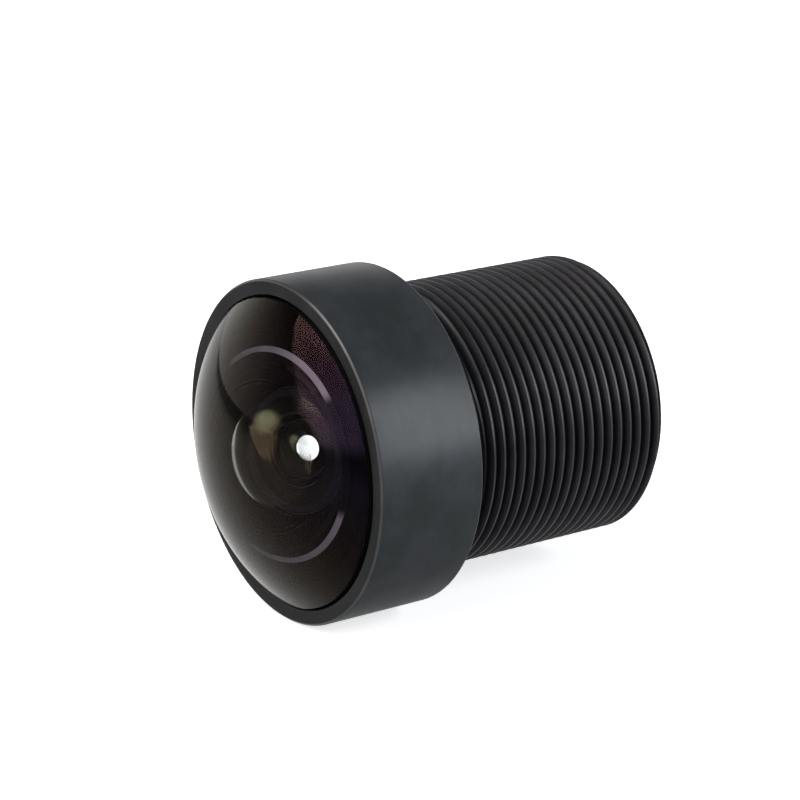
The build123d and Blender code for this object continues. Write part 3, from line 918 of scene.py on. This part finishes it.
def makeFloor():
    # white paper, which glows more far away, where the lamps don't reach. What a mirror sees of it carries
    # a painted shadow under the lens and painted shade far in front. What is seen through the glasses is
    # bright behind the lens, more than white, for they take half of it
    look = stageLook
    size = look["floorSize"]
    height = cadBox[0][2] - look["floorDrop"]
    mesh = bpy.data.meshes.new("floor")
    corners = [(-size, -size, height), (size, -size, height), (size, size, height), (-size, size, height)]
    mesh.from_pydata(corners, [], [(0, 1, 2, 3)])
    floor = bpy.data.objects.new("floor", mesh)
    scene.collection.objects.link(floor)
    made, tree, shader, place = newMaterial("floorPaper", {
        "Roughness": look["floorRoughness"], "Specular IOR Level": 0.0, "Emission Color": rgba(white)})
    path, mirrored = lightPaths(tree)
    join(tree, mixColour(tree, mirrored, look["floorColour"], black), shader.inputs["Base Color"])
    flat = addNode(tree, "ShaderNodeVectorMath", {1: (1, 1, 0)}, operation="MULTIPLY")
    join(tree, place, flat.inputs[0])
    distance = addNode(tree, "ShaderNodeVectorMath", {1: look["shadeCentre"]}, operation="DISTANCE")
    join(tree, flat.outputs[0], distance.inputs[0])
    away = distance.outputs["Value"]
    parts = addNode(tree, "ShaderNodeSeparateXYZ")
    join(tree, place, parts.inputs[0])
    along = parts.outputs["Y"]
    shade = ramp(tree, away, look["shadeNear"], look["shadeFar"], look["shadeDeep"], 1.0)
    front = ramp(tree, along, look["darkTo"], look["darkFrom"], look["frontShare"], 1.0)
    through = ramp(tree, along, 0.0, look["throughFloor"], look["throughShare"], look["throughBack"])
    far = ramp(tree, away, look["farFrom"], look["farTo"], look["floorGlow"], look["farGlow"])
    mirrorShare = mathNode(tree, "MULTIPLY", shade, front)
    lit = choose(tree, path["Is Transmission Ray"], mirrorShare, through)
    mirrorGlow = mathNode(tree, "MULTIPLY", mathNode(tree, "MULTIPLY", lit, look["mirrorGlow"]), mirrored)
    cameraGlow = mathNode(tree, "MULTIPLY", path["Is Camera Ray"], far)
    join(tree, mathNode(tree, "ADD", mirrorGlow, cameraGlow), shader.inputs["Emission Strength"])
    mesh.materials.append(made)


def makeWorld():
    # plain white for the camera. Else it is darker overhead, like the ceiling of a studio. In mirrors it
    # is darker in front of the lens too, where the camera's side of the room is. Seen through the glasses
    # it is bright behind the lens, as the floor is
    look = stageLook
    world = bpy.data.worlds.new("studio")
    world.use_nodes = True
    tree = world.node_tree
    background = tree.nodes["Background"]
    parts = addNode(tree, "ShaderNodeSeparateXYZ")
    join(tree, tree.nodes.new("ShaderNodeTexCoord").outputs["Generated"], parts.inputs[0])
    path, mirrored = lightPaths(tree)
    ceiling = ramp(tree, parts.outputs["Z"], look["ceilingFrom"], look["ceilingTo"])
    high = choose(tree, path["Is Camera Ray"], ceiling, 0.0)
    join(tree, mixColour(tree, high, white, look["ceilingColour"]), background.inputs["Color"])
    along = parts.outputs["Y"]
    front = ramp(tree, along, look["horizonTo"], look["horizonFrom"], look["frontShare"], 1.0)
    through = ramp(tree, along, 0.0, look["throughHorizon"], look["throughShare"], look["throughBack"])
    share = choose(tree, path["Is Transmission Ray"], front, through)
    strength = choose(tree, mirrored, look["worldLight"], share)
    join(tree, choose(tree, path["Is Camera Ray"], strength, 1.0), background.inputs["Strength"])
    scene.world = world


def shapeLamp(data, lamp):
    # how bright each place of the panel is, by its own u and v: each rule takes its share of the light
    data.use_nodes = True
    tree = data.node_tree
    parts = addNode(tree, "ShaderNodeSeparateXYZ")
    join(tree, tree.nodes.new("ShaderNodeNewGeometry").outputs["Parametric"], parts.inputs[0])
    across, upward = parts.outputs["X"], parts.outputs["Y"]
    share = 1.0
    if "edge" in lamp:
        slope, start, width = lamp["edge"]
        slanted = mathNode(tree, "ADD", across, mathNode(tree, "MULTIPLY", upward, slope))
        share = mathNode(tree, "MULTIPLY", share, ramp(tree, slanted, start, start + width))
    if "fade" in lamp:
        low, start, end = lamp["fade"]
        share = mathNode(tree, "MULTIPLY", share, ramp(tree, upward, start, end, low, 1.0))
    if "margin" in lamp:
        share = mathNode(tree, "MULTIPLY", share, ramp(tree, upward, 0.0, lamp["margin"]))
        share = mathNode(tree, "MULTIPLY", share, ramp(tree, across, 1.0 - lamp["margin"], 1.0, 1.0, 0.0))
    if "round" in lamp:
        inner, outer = lamp["round"]
        middle = (0.5, 0.5, 0)
        away = addNode(tree, "ShaderNodeVectorMath", {1: middle}, operation="DISTANCE")
        flat = addNode(tree, "ShaderNodeCombineXYZ")
        join(tree, across, flat.inputs["X"])
        join(tree, upward, flat.inputs["Y"])
        join(tree, flat.outputs[0], away.inputs[0])
        share = mathNode(tree, "MULTIPLY", share, ramp(tree, away.outputs["Value"], inner, outer, 1.0, 0.0))
    feed(tree, tree.nodes["Emission"].inputs["Strength"], share)


def makeLamp(name, lamp):
    # a panel that faces the lens
    data = bpy.data.lights.new(name, "AREA")
    data.shape = "RECTANGLE"
    data.size, data.size_y = lamp["size"]
    data.energy = lamp["power"]
    data.color = lamp["colour"]
    shapeLamp(data, lamp)
    made = bpy.data.objects.new(name, data)
    scene.collection.objects.link(made)
    direction = Vector(lamp["direction"]).normalized()
    turn = direction.to_track_quat("Z", "Y")
    made.matrix_world = Matrix.Translation(direction * lamp["distance"]) @ turn.to_matrix().to_4x4()


makeFloor()
makeWorld()
for name, lamp in lamps.items():
    makeLamp(name, lamp)

scene.view_settings.view_transform = "Standard"
# seven glasses have fourteen faces to pass, and some rays go back and forth between them
scene.cycles.max_bounces = 32
scene.cycles.transmission_bounces = 32
scene.cycles.glossy_bounces = 16
scene.cycles.transparent_max_bounces = 32
print("camera, floor and lamps made")
